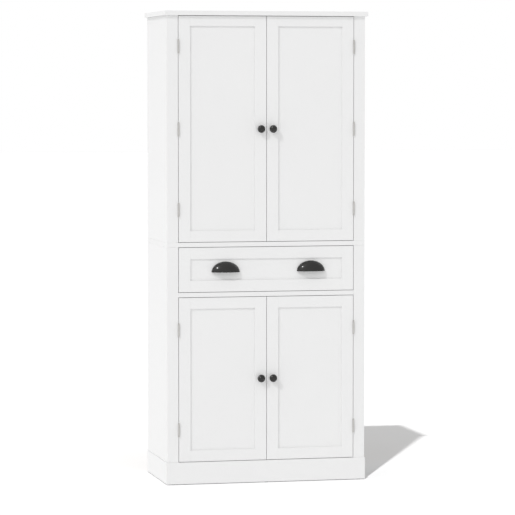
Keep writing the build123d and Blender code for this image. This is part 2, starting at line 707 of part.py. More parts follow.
def drawer_bottom():
    """The drawer's bottom panel, held in grooves all round."""
    low = BOX_BOTTOM + DRAWER_BOTTOM_RISE
    y_span = (BOX_FRONT_INNER - DRAWER_TONGUE, BOX_BACK_INNER + DRAWER_TONGUE)
    return block(across(DRAWER_INNER + DRAWER_TONGUE), y_span, (low, low + DRAWER_BOTTOM_PANEL))


def bottom_groove():
    """The room that the drawer's bottom panel takes in the boards round it."""
    low = BOX_BOTTOM + DRAWER_BOTTOM_RISE
    y_span = (BOX_FRONT_INNER - DRAWER_GROOVE, BOX_BACK_INNER + DRAWER_GROOVE)
    return block(across(DRAWER_INNER + DRAWER_GROOVE), y_span, (low, low + DRAWER_BOTTOM_PANEL))


def drawer_side():
    """The right-hand side of the drawer box."""
    board = block((DRAWER_INNER, DRAWER_OUTER), (BEHIND_FACE, BOX_REAR), (BOX_BOTTOM, BOX_TOP))
    screws = runner_screws(DRAWER_OUTER + RUNNER_STEEL, LEFTWARD, FIT)
    return board - bottom_groove() - screws


def drawer_box_end(y_span):
    """The front or back board between the drawer's sides."""
    return block(across(DRAWER_INNER), y_span, (BOX_BOTTOM, BOX_TOP)) - bottom_groove()


def add_drawer(parts):
    """Put the drawer's pieces in the parts."""
    x_span = across(DOOR_OUTER)
    z_span = (DRAWER_FRONT_BOTTOM, DRAWER_FRONT_TOP)
    front = frame(x_span, z_span, DRAWER_RAIL, DRAWER_RAIL)
    panel = frame_panel(x_span, z_span, DRAWER_RAIL, DRAWER_RAIL)
    bolt_length = BOX_FRONT_INNER - FACE + PANEL_SET_BACK
    bolts = [bolt((x, BOX_FRONT_INNER, z), FORWARD, bolt_length) for x, z in pull_screw_places()]
    runner_side_screws = both_sides(runner_screws(DRAWER_OUTER + RUNNER_STEEL, LEFTWARD))
    box_front = drawer_box_end((BEHIND_FACE, BOX_FRONT_INNER))
    parts["drawer_front_frame"] = [piece - front_screws(FIT) for piece in front]
    parts["drawer_front_panel"] = [panel - pull_bolt_holes()]
    parts["drawer_box_front"] = [box_front - pull_bolt_holes() - front_screws(FIT)]
    parts["drawer_box_sides"] = both_sides([drawer_side()])
    parts["drawer_box_back"] = [drawer_box_end((BOX_BACK_INNER, BOX_REAR))]
    parts["drawer_bottom"] = [drawer_bottom()]
    for hand, middle in zip(("left", "right"), PULL_X):
        parts[f"{hand}_cup_pull"] = [cup_pull(middle)]
    parts["drawer_screws"] = bolts + front_screws() + runner_side_screws
    parts["drawer_runners"] = both_sides([inner_runner()])


def add_case(parts):
    """Put the fixed case boards in the parts."""
    sides = {
        "upper": (MID_TOP, TOP_BOTTOM, UPPER_SHELVES, UPPER_HINGES),
        "lower": (CASE_BOTTOM, MID_BOTTOM, [LOWER_SHELF], LOWER_HINGES),
    }
    for level, (bottom, top, shelves, hinges) in sides.items():
        board = side(bottom, top, shelves)
        front_stile = stile(bottom, top, hinges)
        parts[f"{level}_right_side"] = [board]
        parts[f"{level}_left_side"] = [flipped(board)]
        parts[f"{level}_right_stile"] = [front_stile]
        parts[f"{level}_left_stile"] = [flipped(front_stile)]
    parts["top_board"] = [top_board()]
    parts["mid_board"] = [mid_board()]
    parts["drawer_deck"] = [drawer_deck()]
    parts["floor_board"] = [floor_board()]
    upper_back = back_panel(MID_TOP - PANEL_TONGUE, TOP_BOTTOM + PANEL_TONGUE)
    parts["upper_back_panel"] = [upper_back - wall_holes()]
    parts["lower_back_panel"] = [back_panel(CASE_BOTTOM, MID_BOTTOM + PANEL_TONGUE)]
    parts["wall_rail"] = [wall_rail()]
    parts["plinth_front"] = [plinth_front()]
    parts["plinth_sides"] = both_sides([plinth_side()])
    parts["plinth_back"] = [plinth_back()]
    parts["upper_shelves"] = [shelf(height) for height in UPPER_SHELVES]
    parts["lower_shelf"] = [shelf(LOWER_SHELF)]
    parts["runner_packers"] = both_sides([runner_packer()])


def add_hardware(parts):
    """Put the hardware that is fixed to the case in the parts."""
    hinges = UPPER_HINGES + LOWER_HINGES
    screws = both_sides(frame_leaf_screws(hinges) + runner_screws(OPENING - RUNNER_STEEL, RIGHTWARD))
    screws += catch_screws(TOP_BOTTOM) + catch_screws(DECK_BOTTOM)
    parts["dowels"] = dowels()
    parts["foot_glides"] = glides()
    parts["shelf_pins"] = shelf_pins()
    parts["hinge_frame_leaves"] = both_sides([frame_leaf(middle) for middle in hinges])
    parts["hinge_pins"] = both_sides([hinge_pin(middle) for middle in hinges])
    parts["door_catches"] = catch(TOP_BOTTOM) + catch(DECK_BOTTOM)
    parts["cabinet_runners"] = both_sides([outer_runner()])
    parts["ball_cages"] = both_sides(ball_cage())
    parts["case_screws"] = screws


def build():
    """Every node's solids under its name."""
    parts = {}
    add_case(parts)
    add_hardware(parts)
    add_drawer(parts)
    for side_name, x_sign in (("left", -1), ("right", 1)):
        upper = (UPPER_DOOR_BOTTOM, UPPER_DOOR_TOP, UPPER_TOP_RAIL, UPPER_HINGES, UPPER_KNOB_HEIGHT)
        lower = (LOWER_DOOR_BOTTOM, LOWER_DOOR_TOP, FRAME_RAIL, LOWER_HINGES, LOWER_KNOB_HEIGHT)
        add_door(parts, f"upper_{side_name}_door", x_sign, *upper)
        add_door(parts, f"lower_{side_name}_door", x_sign, *lower)
    return parts


os.makedirs("parts", exist_ok=True)
for node, solids in build().items():
    pieces = [solid for piece in solids for solid in piece.solids()]
    export_step(pieces[0] if len(pieces) == 1 else Compound(children=pieces), f"parts/{node}.step")
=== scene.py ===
import json
import math

import bmesh
import bpy
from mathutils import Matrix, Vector


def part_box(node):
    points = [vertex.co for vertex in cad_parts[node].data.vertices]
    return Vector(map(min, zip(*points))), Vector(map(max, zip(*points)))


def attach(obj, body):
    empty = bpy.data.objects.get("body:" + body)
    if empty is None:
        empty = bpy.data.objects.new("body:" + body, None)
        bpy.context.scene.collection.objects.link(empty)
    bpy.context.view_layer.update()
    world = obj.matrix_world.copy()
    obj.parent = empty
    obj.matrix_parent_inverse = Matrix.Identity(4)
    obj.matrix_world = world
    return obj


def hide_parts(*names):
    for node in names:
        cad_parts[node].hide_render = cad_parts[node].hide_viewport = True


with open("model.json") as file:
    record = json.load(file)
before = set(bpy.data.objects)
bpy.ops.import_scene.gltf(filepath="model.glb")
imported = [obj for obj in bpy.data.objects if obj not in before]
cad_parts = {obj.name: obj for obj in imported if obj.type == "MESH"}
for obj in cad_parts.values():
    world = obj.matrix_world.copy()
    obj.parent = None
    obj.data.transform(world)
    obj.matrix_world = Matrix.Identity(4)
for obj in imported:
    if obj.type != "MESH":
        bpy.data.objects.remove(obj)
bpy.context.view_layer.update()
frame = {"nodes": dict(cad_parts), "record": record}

bl_info = {
    "name": "Pantry cabinet finish",
    "version": (1, 0, 0),
    "blender": (4, 5, 0),
    "location": "View3D > Sidebar > Cabinet",
    "description": "Boards, knobs, cup pulls, hardware, finishes and a studio for a pantry cabinet",
    "category": "Object",
}

MM = 0.001
BODIES = frame["record"]["behaviour"]["bodies"]
SLOTS = {part["node"]: part["material_slot"] for part in frame["record"]["subparts"]}
DOORS = [body for body in BODIES if body.endswith("_door")]
PULLS = [node for node in BODIES["drawer"] if node.endswith("cup_pull")]
PAINTED_CASE = [node for node in BODIES["case"] if SLOTS[node] == "white_paint"]
PLAIN_CASE = [
    node for node in BODIES["case"]
    if SLOTS[node] in ("backing_board", "bare_wood") and node != "dowels"
]
FACE_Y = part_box("mid_board")[0].y

# Meshes: distances and angles that count as the same, short, sharp or flat
WELD = 0.01 * MM
SHORTEST_EDGE = 6 * MM        # shorter edges than this stay sharp
CORNER_ANGLE = math.radians(60)
SHARP_ANGLE = math.radians(50)
FLAT_ANGLE = math.radians(1)
EDGE_STEPS = 3
LIP_STEPS = 4

# Rounding of the edges of each piece of hardware
HARDWARE_EDGES = {
    "hinge_frame_leaves": 0.15 * MM,
    "hinge_pins": 0.3 * MM,
    "shelf_pins": 0.25 * MM,
    "door_catches": 0.8 * MM,
    "foot_glides": 0.5 * MM,
    "dowels": 0.5 * MM,
    "cabinet_runners": 0.2 * MM,
    "ball_cages": 0.1 * MM,
    "drawer_runners": 0.2 * MM,
}
HARDWARE_EDGES.update({f"{door}_hinge_leaves": 0.15 * MM for door in DOORS})

# Knob rims: the part of a circle that the bead runs through, in degrees
BEAD_START = -50
BEAD_END = 60

# Screws and bolts: each radius as a share of the widest one
BOLT_HEAD = {"Face Radius": 0.75, "Seat Radius": 1.0, "Shank Radius": 0.5}
SCREW_HEAD = {"Face Radius": 1.0, "Seat Radius": 0.5, "Shank Radius": 0.5}
BOLT_HEAD_HEIGHT = 2.5 * MM
SCREW_HEAD_HEIGHT = 1.5 * MM
BOLT_HEADS_FROM = 3.5 * MM    # wider heads than this belong to bolts
SHANK_END_SHARE = 0.8
SLOT_REACH = 1.2
HEAD_SIDES = 32
SHANK_SIDES = 20
NEAR_END = 0.2 * MM           # corners this close to a screw's end belong to the end
HEAD_SHARE = 0.45             # an end wider than this share of the screw's width is its head
ROUND_SHARE = 1.05            # a fixing flatter than this is a plate

# Colours of the unpainted materials
HARDBOARD_DARK = (0.23, 0.13, 0.065)
HARDBOARD_PALE = (0.42, 0.26, 0.14)
HARDBOARD_WHITE = (0.80, 0.80, 0.79)
BIRCH_PALE = (0.66, 0.50, 0.31)
BIRCH_DARK = (0.55, 0.385, 0.215)
PLY_PALE = (0.60, 0.45, 0.27)
PLY_DARK = (0.36, 0.235, 0.125)
PINE_PALE = (0.62, 0.44, 0.25)
PINE_DARK = (0.48, 0.31, 0.15)
GLIDE_COLOUR = (0.05, 0.05, 0.05)
CATCH_COLOUR = (0.72, 0.72, 0.70)
FLOOR_COLOUR = (0.65, 0.65, 0.65)
WHITE = (1, 1, 1, 1)

# Noise patterns: how fine each one is, in features per metre
CLOUDS = 3.0
PEEL = 420.0
SPECKS = 1600.0
FIBRES = 900.0
BLOTCHES = 9.0
GROWTH_BANDS = 55.0
PORES = 1500.0
PLIES = 800.0
POWDER = 2600.0
SMEARS = 90.0
STREAKS = 1800.0
BLOOM = 60.0
SPARKS = 1400.0
TONES = 120.0

FLOOR_REACH = 30.0
MADE_FINISHES = []


# Sizes and colours that a user would change

class PaintSettings(bpy.types.PropertyGroup):
    """The painted finish of the boards."""

    colour: bpy.props.FloatVectorProperty(
        name="Paint colour", description="Colour of the satin paint", subtype="COLOR",
        size=3, min=0, max=1, default=(0.765, 0.765, 0.765),
    )
    roughness: bpy.props.FloatProperty(
        name="Roughness", description="Middle roughness of the paint", subtype="FACTOR",
        min=0, max=1, default=0.42,
    )
    orange_peel: bpy.props.FloatProperty(
        name="Orange peel", description="Depth of the sprayed texture", subtype="DISTANCE",
        unit="LENGTH", default=0.03 * MM,
    )
    edge_radius: bpy.props.FloatProperty(
        name="Edge radius", description="Rounding of a board's edges", subtype="DISTANCE",
        unit="LENGTH", default=1.0 * MM,
    )
    frame_edge_radius: bpy.props.FloatProperty(
        name="Frame edge radius", description="Rounding of the door and drawer frame's edges",
        subtype="DISTANCE", unit="LENGTH", default=0.28 * MM,
    )


class MetalSettings(bpy.types.PropertyGroup):
    """The metal finishes."""

    black: bpy.props.FloatVectorProperty(
        name="Black coating", description="Colour of the knobs and cup pulls", subtype="COLOR",
        size=3, min=0, max=1, default=(0.003, 0.0027, 0.0022),
    )
    black_roughness: bpy.props.FloatProperty(
        name="Black roughness", description="Roughness of the knobs and cup pulls",
        subtype="FACTOR", min=0, max=1, default=0.34,
    )
    nickel: bpy.props.FloatVectorProperty(
        name="Nickel", description="Colour of the hinges and shelf pins", subtype="COLOR",
        size=3, min=0, max=1, default=(0.56, 0.55, 0.53),
    )
    zinc: bpy.props.FloatVectorProperty(
        name="Zinc", description="Colour of the screws and runners", subtype="COLOR",
        size=3, min=0, max=1, default=(0.60, 0.62, 0.65),
    )


class KnobSettings(bpy.types.PropertyGroup):
    """The turned shape of the knobs."""

    neck_radius: bpy.props.FloatProperty(
        name="Neck radius", description="Radius at the thinnest place", subtype="DISTANCE",
        unit="LENGTH", default=5.5 * MM,
    )
    base_radius: bpy.props.FloatProperty(
        name="Base radius", description="Radius where the knob meets the door",
        subtype="DISTANCE", unit="LENGTH", default=8 * MM,
    )
    rim_share: bpy.props.FloatProperty(
        name="Rim place", description="Where the widest ring is, as a share of the length",
        subtype="FACTOR", min=0.1, max=0.95, default=0.64,
    )
    bead: bpy.props.FloatProperty(
        name="Rim bead", description="Radius of the rounded rim", subtype="DISTANCE",
        unit="LENGTH", default=1.5 * MM,
    )
    foot: bpy.props.FloatProperty(
        name="Foot", description="Height of the straight part against the door",
        subtype="DISTANCE", unit="LENGTH", default=0.75 * MM,
    )
    flare: bpy.props.FloatProperty(
        name="Flare", description="How suddenly the neck opens towards the rim", min=1, default=2.6,
    )
    steps: bpy.props.IntProperty(
        name="Steps round", description="Faces round the knob", min=12, default=72,
    )
    rows: bpy.props.IntProperty(
        name="Rows", description="Rows of faces along the neck and over the dome", min=4, default=12,
    )


class PullSettings(bpy.types.PropertyGroup):
    """The pressed shape of the cup pulls."""

    wall: bpy.props.FloatProperty(
        name="Wall", description="Thickness of the metal", subtype="DISTANCE",
        unit="LENGTH", default=2.2 * MM,
    )
    lip: bpy.props.FloatProperty(
        name="Lip", description="Radius of the rolled edges", subtype="DISTANCE",
        unit="LENGTH", default=1.0 * MM,
    )
    post_radius: bpy.props.FloatProperty(
        name="Post radius", description="Radius of the two bolt posts", subtype="DISTANCE",
        unit="LENGTH", default=3.6 * MM,
    )
    post_spacing: bpy.props.FloatProperty(
        name="Post spacing", description="Distance between the bolt posts", subtype="DISTANCE",
        unit="LENGTH", default=76 * MM,
    )
    post_rise: bpy.props.FloatProperty(
        name="Post rise", description="From the mouth up to the bolt posts", subtype="DISTANCE",
        unit="LENGTH", default=14 * MM,
    )
    post_length: bpy.props.FloatProperty(
        name="Post length", description="From the drawer's panel to a post's end",
        subtype="DISTANCE", unit="LENGTH", default=12 * MM,
    )
    columns: bpy.props.IntProperty(
        name="Columns", description="Faces across the cup", min=8, default=64,
    )
    rows: bpy.props.IntProperty(
        name="Rows", description="Faces from the mouth to the top", min=4, default=20,
    )


class ScrewSettings(bpy.types.PropertyGroup):
    """The heads of the screws and bolts."""

    recess_depth: bpy.props.FloatProperty(
        name="Recess depth", description="Depth of the cross in a head", subtype="DISTANCE",
        unit="LENGTH", default=1.0 * MM,
    )
    recess_width: bpy.props.FloatProperty(
        name="Recess width", description="Width of each slot of the cross", subtype="DISTANCE",
        unit="LENGTH", default=0.8 * MM,
    )
    plate_edge: bpy.props.FloatProperty(
        name="Plate edge", description="Rounding of the strike plates' edges", subtype="DISTANCE",
        unit="LENGTH", default=0.2 * MM,
    )


class StageSettings(bpy.types.PropertyGroup):
    """The camera and the studio light."""

    distance: bpy.props.FloatProperty(
        name="Camera distance", description="From the camera to the aim", subtype="DISTANCE",
        unit="LENGTH", default=10.99,
    )
    azimuth: bpy.props.FloatProperty(
        name="Azimuth", description="The camera's turn to the right of the front",
        subtype="ANGLE", unit="ROTATION", default=math.radians(-12.9),
    )
    elevation: bpy.props.FloatProperty(
        name="Elevation", description="The camera's rise above the aim", subtype="ANGLE",
        unit="ROTATION", default=math.radians(3.32),
    )
    lens: bpy.props.FloatProperty(
        name="Lens", description="Focal length in millimetres", default=197.7,
    )
    aim: bpy.props.FloatVectorProperty(
        name="Aim", description="The point on the front that the camera looks at",
        subtype="TRANSLATION", unit="LENGTH", default=(-0.0363, FACE_Y, 0.8795),
    )
    fill: bpy.props.FloatProperty(
        name="Fill", description="Strength of the light from all round", default=0.88,
    )
    side_shade: bpy.props.FloatProperty(
        name="Side shade", description="How much weaker that light is on the right", default=0.125,
    )
    key: bpy.props.FloatProperty(
        name="Key", description="Strength of the soft light on the cabinet", default=0.91,
    )
    key_direction: bpy.props.FloatVectorProperty(
        name="Key direction", description="Where the soft light goes", subtype="DIRECTION",
        default=(1.2, 1.0, -1.38),
    )
    key_width: bpy.props.FloatProperty(
        name="Key width", description="How wide the soft light looks from the cabinet",
        subtype="ANGLE", unit="ROTATION", default=math.radians(3),
    )
    sun: bpy.props.FloatProperty(
        name="Sun", description="Strength of the light that lays the shadow on the floor",
        default=3.0,
    )
    sun_direction: bpy.props.FloatVectorProperty(
        name="Sun direction", description="Where the floor's light goes", subtype="DIRECTION",
        default=(0.475, 1.0, -1.398),
    )
    sun_width: bpy.props.FloatProperty(
        name="Sun width", description="How wide the floor's light looks from the floor",
        subtype="ANGLE", unit="ROTATION", default=math.radians(1),
    )


SETTINGS = {
    "cabinet_paint": PaintSettings,
    "cabinet_metal": MetalSettings,
    "cabinet_knobs": KnobSettings,
    "cabinet_pulls": PullSettings,
    "cabinet_screws": ScrewSettings,
    "cabinet_stage": StageSettings,
}


# Node trees written as expressions

class Wire:
    """A node's output that takes part in sums, which become Math nodes."""

    def __init__(self, tree, socket=None):
        self.tree = tree
        self.socket = socket

    def node(self, kind, inputs=None, output=0, stops=None, **settings):
        """Any node: its settings come first, then the values and links of its sockets."""
        made = self.tree.nodes.new(kind)
        for name, value in settings.items():
            setattr(made, name, value)
        for number, (place, colour) in enumerate(stops or ()):
            ramp = made.color_ramp.elements
            stop = ramp[number] if number < 2 else ramp.new(place)
            stop.position = place
            stop.color = (*colour, 1)
        for name, value in (inputs or {}).items():
            self.feed(find_socket(made.inputs, name), value)
        return Wire(self.tree, find_socket(made.outputs, output))

    def feed(self, socket, value):
        """Links a wire or a list of wires to a socket, or sets the socket's own value."""
        for item in value if isinstance(value, list) else [value]:
            if isinstance(item, Wire):
                self.tree.links.new(item.socket, socket)
            else:
                socket.default_value = item

    def maths(self, operation, first, second=0.0):
        """A Math node on two wires or numbers."""
        values = {"Value": first, "Value_001": second}
        return self.node("ShaderNodeMath", values, operation=operation)

    def __add__(self, other):
        return self.maths("ADD", self, other)

    def __sub__(self, other):
        return self.maths("SUBTRACT", self, other)

    def __mul__(self, other):
        return self.maths("MULTIPLY", self, other)

    def __truediv__(self, other):
        return self.maths("DIVIDE", self, other)

    def __gt__(self, other):
        return self.maths("GREATER_THAN", self, other)

    def __rsub__(self, other):
        return self.maths("SUBTRACT", other, self)

    def __rtruediv__(self, other):
        return self.maths("DIVIDE", other, self)

    __radd__ = __add__
    __rmul__ = __mul__


def find_socket(sockets, name):
    """A socket by its number, its identifier or its name."""
    if isinstance(name, int):
        return sockets[name]
    same = [socket for socket in sockets if socket.identifier == name]
    return same[0] if same else sockets[name]


def new_material(name, **values):
    """A material's wire to start its expressions from, and its shader's inputs to feed."""
    material = bpy.data.materials.get(name) or bpy.data.materials.new(name)
    material.use_nodes = True
    shader = material.node_tree.nodes["Principled BSDF"]
    for socket, value in values.items():
        shader.inputs[socket.replace("_", " ")].default_value = value
    return Wire(material.node_tree), shader.inputs


def placed(start, along=None, share=1.0):
    """Object coordinates, with a pattern's length along one axis divided by a share."""
    scale = [share if axis == along else 1.0 for axis in "XYZ"]
    place = start.node("ShaderNodeTexCoord", output="Object")
    return start.node("ShaderNodeMapping", {"Vector": place, "Scale": tuple(scale)})


def noise(start, vector, scale, detail=2.0, roughness=0.5):
    """Noise between 0 and 1."""
    inputs = {"Vector": vector, "Scale": scale, "Detail": detail, "Roughness": roughness}
    return start.node("ShaderNodeTexNoise", inputs, output="Fac")


def mixed(start, factor, first, second):
    """A colour between two others."""
    inputs = {"Factor_Float": factor, "A_Color": first, "B_Color": second}
    return start.node("ShaderNodeMix", inputs, output="Result_Color", data_type="RGBA")


def bumped(start, height, distance, strength):
    """A normal from a height between 0 and 1."""
    inputs = {"Height": height, "Distance": distance, "Strength": strength}
    return start.node("ShaderNodeBump", inputs)


def tinted(colour, share=1.0):
    """A colour made lighter or darker, with its alpha."""
    return (*[min(1.0, channel * share) for channel in colour], 1.0)


# Finishes

def white_paint(name):
    """Satin sprayed paint: a fine orange peel and a very slight cloudiness."""
    paint = bpy.context.scene.cabinet_paint
    start, sockets = new_material(name, IOR=1.46)
    place = placed(start)
    cloud = noise(start, place, CLOUDS, detail=3.0)
    peel = noise(start, place, PEEL, roughness=0.45)
    specks = noise(start, place, SPECKS, detail=1.0)
    colour = mixed(start, cloud, tinted(paint.colour, 0.985), tinted(paint.colour, 1.015))
    normal = bumped(start, peel * 0.8 + specks * 0.2, distance=paint.orange_peel, strength=0.35)
    start.feed(sockets["Base Color"], colour)
    start.feed(sockets["Roughness"], paint.roughness - 0.05 + cloud * 0.06 + specks * 0.05)
    start.feed(sockets["Normal"], normal)


def facing(start, axis):
    """Whether the surface faces along an axis: 1 if it does and 0 if not."""
    normal = start.node("ShaderNodeNewGeometry", output="Normal")
    return start.node("ShaderNodeSeparateXYZ", {"Vector": normal}, output=axis) > 0.5


def backing_board(name):
    """Thin hardboard: white and smooth inside, brown and rough behind."""
    start, sockets = new_material(name, IOR=1.45)
    fibres = noise(start, placed(start, "Z", 0.25), FIBRES, detail=4.0, roughness=0.7)
    blotches = noise(start, placed(start), BLOTCHES, detail=3.0)
    behind = facing(start, "Y")
    mottle = blotches * 0.5 + fibres * 0.5
    brown = mixed(start, mottle, tinted(HARDBOARD_DARK), tinted(HARDBOARD_PALE))
    white = mixed(start, blotches, tinted(HARDBOARD_WHITE, 0.975), tinted(HARDBOARD_WHITE, 1.025))
    start.feed(sockets["Base Color"], mixed(start, behind, white, brown))
    start.feed(sockets["Roughness"], 0.45 + behind * 0.3 + fibres * 0.1)
    start.feed(sockets["Normal"], bumped(start, fibres * behind, distance=0.12 * MM, strength=0.5))


def grain(start, along):
    """Long wood figure along an axis: broad growth bands and fine pores, between 0 and 1."""
    bands = noise(start, placed(start, along, 0.06), GROWTH_BANDS, detail=3.0, roughness=0.55)
    pores = noise(start, placed(start, along, 0.02), PORES, roughness=0.6)
    return bands, pores


def figured(start, figure, pale, dark):
    """The colours of wood across its figure."""
    return start.node("ShaderNodeValToRGB", {"Fac": figure}, stops=[(0.3, pale), (0.7, dark)])


def timber(name, along):
    """Bare pine with its grain along one axis."""
    start, sockets = new_material(name, IOR=1.48)
    bands, pores = grain(start, along)
    figure = bands * 0.7 + pores * 0.3
    start.feed(sockets["Base Color"], figured(start, figure, PINE_PALE, PINE_DARK))
    start.feed(sockets["Roughness"], 0.6 + pores * 0.15)
    start.feed(sockets["Normal"], bumped(start, pores, distance=0.05 * MM, strength=0.4))


def plywood(name, along, across):
    """Birch plywood: figured faces, and dark and pale plies on the upper edges."""
    start, sockets = new_material(name, IOR=1.48)
    bands, pores = grain(start, along)
    face = figured(start, bands * 0.75 + pores * 0.25, BIRCH_PALE, BIRCH_DARK)
    place = start.node("ShaderNodeTexCoord", output="Object")
    depth = start.node("ShaderNodeSeparateXYZ", {"Vector": place}, output=across)
    ply = start.maths("PINGPONG", depth * PLIES, 1.0) > 0.5
    edge = mixed(start, ply, tinted(PLY_PALE), tinted(PLY_DARK))
    start.feed(sockets["Base Color"], mixed(start, facing(start, "Z"), face, edge))
    start.feed(sockets["Roughness"], 0.38 + pores * 0.15)
    start.feed(sockets["Normal"], bumped(start, pores, distance=0.04 * MM, strength=0.35))


def black_metal(name):
    """Satin black coating: a fine powder texture with soft smears."""
    metal = bpy.context.scene.cabinet_metal
    start, sockets = new_material(name, IOR=1.38, Coat_Weight=0.7, Coat_Roughness=0.13)
    powder = noise(start, placed(start), POWDER)
    smears = noise(start, placed(start), SMEARS, detail=3.0)
    colour = mixed(start, smears, tinted(metal.black, 0.8), tinted(metal.black, 1.5))
    start.feed(sockets["Base Color"], colour)
    start.feed(sockets["Roughness"], metal.black_roughness - 0.06 + smears * 0.1 + powder * 0.04)
    start.feed(sockets["Normal"], bumped(start, powder, distance=0.012 * MM, strength=0.4))


def plated(name, setting, along):
    """Plated steel in the colour of a metal setting, with faint streaks along one axis."""
    colour = getattr(bpy.context.scene.cabinet_metal, setting)
    start, sockets = new_material(name, Metallic=1.0)
    streaks = noise(start, placed(start, along, 0.05), STREAKS, detail=3.0, roughness=0.6)
    bloom = noise(start, placed(start), BLOOM, detail=3.0)
    start.feed(sockets["Base Color"], mixed(start, bloom, tinted(colour, 0.9), tinted(colour, 1.08)))
    start.feed(sockets["Roughness"], 0.29 + streaks * 0.12 + bloom * 0.08)
    start.feed(sockets["Normal"], bumped(start, streaks, distance=0.006 * MM, strength=0.4))


def moulded(name, colour, roughness):
    """Moulded plastic with a fine spark-eroded texture."""
    start, sockets = new_material(name, IOR=1.49)
    sparks = noise(start, placed(start), SPARKS)
    tone = noise(start, placed(start), TONES)
    start.feed(sockets["Base Color"], mixed(start, tone, tinted(colour, 0.94), tinted(colour, 1.06)))
    start.feed(sockets["Roughness"], roughness + sparks * 0.12)
    start.feed(sockets["Normal"], bumped(start, sparks, distance=0.02 * MM, strength=0.4))


# How each finish is made, and the values that its maker takes after the name
FINISHES = {
    "white_paint": (white_paint,),
    "backing_board": (backing_board,),
    "drawer_board": (plywood, "Y", "X"),
    "drawer_ends": (plywood, "X", "Y"),
    "bare_wood": (timber, "Y"),
    "black_metal": (black_metal,),
    "hinge_nickel": (plated, "nickel", "Z"),
    "zinc_steel": (plated, "zinc", "Y"),
    "glide_plastic": (moulded, GLIDE_COLOUR, 0.5),
    "catch_plastic": (moulded, CATCH_COLOUR, 0.4),
}


def finish(name):
    """A finish by its name, made the first time that it is needed."""
    if name not in MADE_FINISHES:
        make, *values = FINISHES[name]
        make(name, *values)
        MADE_FINISHES.append(name)
    return bpy.data.materials[name]


# Meshes

def separate_solids(node):
    """Each solid of a node as its own mesh, with shared corners."""
    loose = bmesh.new()
    loose.from_mesh(frame["nodes"][node].data)
    same = bmesh.ops.find_doubles(loose, verts=loose.verts, dist=WELD)["targetmap"]
    sides = {}
    for face in loose.faces:
        corners = [same.get(corner, corner) for corner in face.verts]
        for ends in zip(corners, corners[1:] + corners[:1]):
            sides.setdefault(ends, []).append(face)
    joined = {face: [] for face in loose.faces}
    for (start, end), owners in sides.items():
        partners = sides.get((end, start), [])
        if len(owners) == len(partners) == 1:
            joined[owners[0]].append(partners[0])
    solids = []
    left = dict.fromkeys(loose.faces)
    while left:
        reached = [left.popitem()[0]]
        for face in reached:
            for partner in joined[face]:
                if partner in left:
                    del left[partner]
                    reached.append(partner)
        solids.append(closed_solid(reached))
    loose.free()
    return solids


def closed_solid(triangles):
    """One solid from its loose triangles."""
    solid = bmesh.new()
    for triangle in triangles:
        solid.faces.new([solid.verts.new(corner.co) for corner in triangle.verts])
    bmesh.ops.remove_doubles(solid, verts=solid.verts, dist=WELD)
    return solid


def flat_faces(solid):
    """Takes away the lines across a solid's flat faces."""
    bmesh.ops.dissolve_limit(solid, angle_limit=FLAT_ANGLE, verts=solid.verts, edges=solid.edges)


def gathered(solids):
    """One mesh of several, which are freed."""
    whole = bmesh.new()
    for solid in solids:
        mesh = bpy.data.meshes.new("solid")
        solid.to_mesh(mesh)
        solid.free()
        whole.from_mesh(mesh)
        bpy.data.meshes.remove(mesh)
    return whole


def ease_edges(shape, radius):
    """Rounds the long outward edges of a shape."""
    long_edges = [
        edge for edge in shape.edges
        if edge.is_convex and len(edge.link_faces) == 2
        and edge.calc_face_angle() > CORNER_ANGLE and edge.calc_length() > SHORTEST_EDGE
    ]
    bmesh.ops.bevel(
        shape, geom=long_edges, offset=radius, offset_type="OFFSET", segments=EDGE_STEPS,
        profile=0.5, affect="EDGES", clamp_overlap=False,
    )


def add_piece(name, shape, body, node, material):
    """Links a piece that stands for a node, smooth between its sharp edges, with finish and body."""
    mesh = bpy.data.meshes.new(name)
    shape.to_mesh(mesh)
    shape.free()
    mesh.materials.append(material)
    mesh.shade_smooth()
    mesh.set_sharp_from_angle(angle=SHARP_ANGLE)
    piece = bpy.data.objects.new(name, mesh)
    bpy.context.scene.collection.objects.link(piece)
    weighting = piece.modifiers.new("Even shading", "WEIGHTED_NORMAL")
    weighting.keep_sharp = True
    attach(piece, body)
    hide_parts(node)
    return piece


def add_eased_piece(node, body, radius, material):
    """Makes a piece with a node's shape and rounded edges."""
    solids = separate_solids(node)
    for solid in solids:
        flat_faces(solid)
        ease_edges(solid, radius)
    add_piece(f"{node}_eased", gathered(solids), body, node, material)


def lathe(outline, steps, origin):
    """A closed turned shape whose outline is pairs of radius and reach towards the front."""
    shape = bmesh.new()
    rings = []
    for radius, reach in outline:
        if radius == 0:
            rings.append([shape.verts.new(origin + Vector((0, -reach, 0)))])
            continue
        ring = []
        for step in range(steps):
            turn = 2 * math.pi * step / steps
            corner = Vector((radius * math.cos(turn), -reach, radius * math.sin(turn)))
            ring.append(shape.verts.new(origin + corner))
        rings.append(ring)
    for first, second in zip(rings, rings[1:]):
        for step in range(steps):
            following = (step + 1) % steps
            corners = [first[step % len(first)], first[following % len(first)]]
            corners += [second[following % len(second)], second[step % len(second)]]
            shape.faces.new(list(dict.fromkeys(corners)))
    bmesh.ops.recalc_face_normals(shape, faces=shape.faces)
    return shape


def arc(centre, radii, start, end, steps):
    """Points along part of an ellipse, its angles in degrees."""
    points = []
    for step in range(steps + 1):
        turn = math.radians(start + (end - start) * step / steps)
        points.append((centre[0] + radii[0] * math.cos(turn), centre[1] + radii[1] * math.sin(turn)))
    return points


def span(corners):
    """The lowest and highest place of some corners."""
    low = Vector([min(corner[axis] for corner in corners) for axis in range(3)])
    high = Vector([max(corner[axis] for corner in corners) for axis in range(3)])
    return low, high


# Knobs and cup pulls

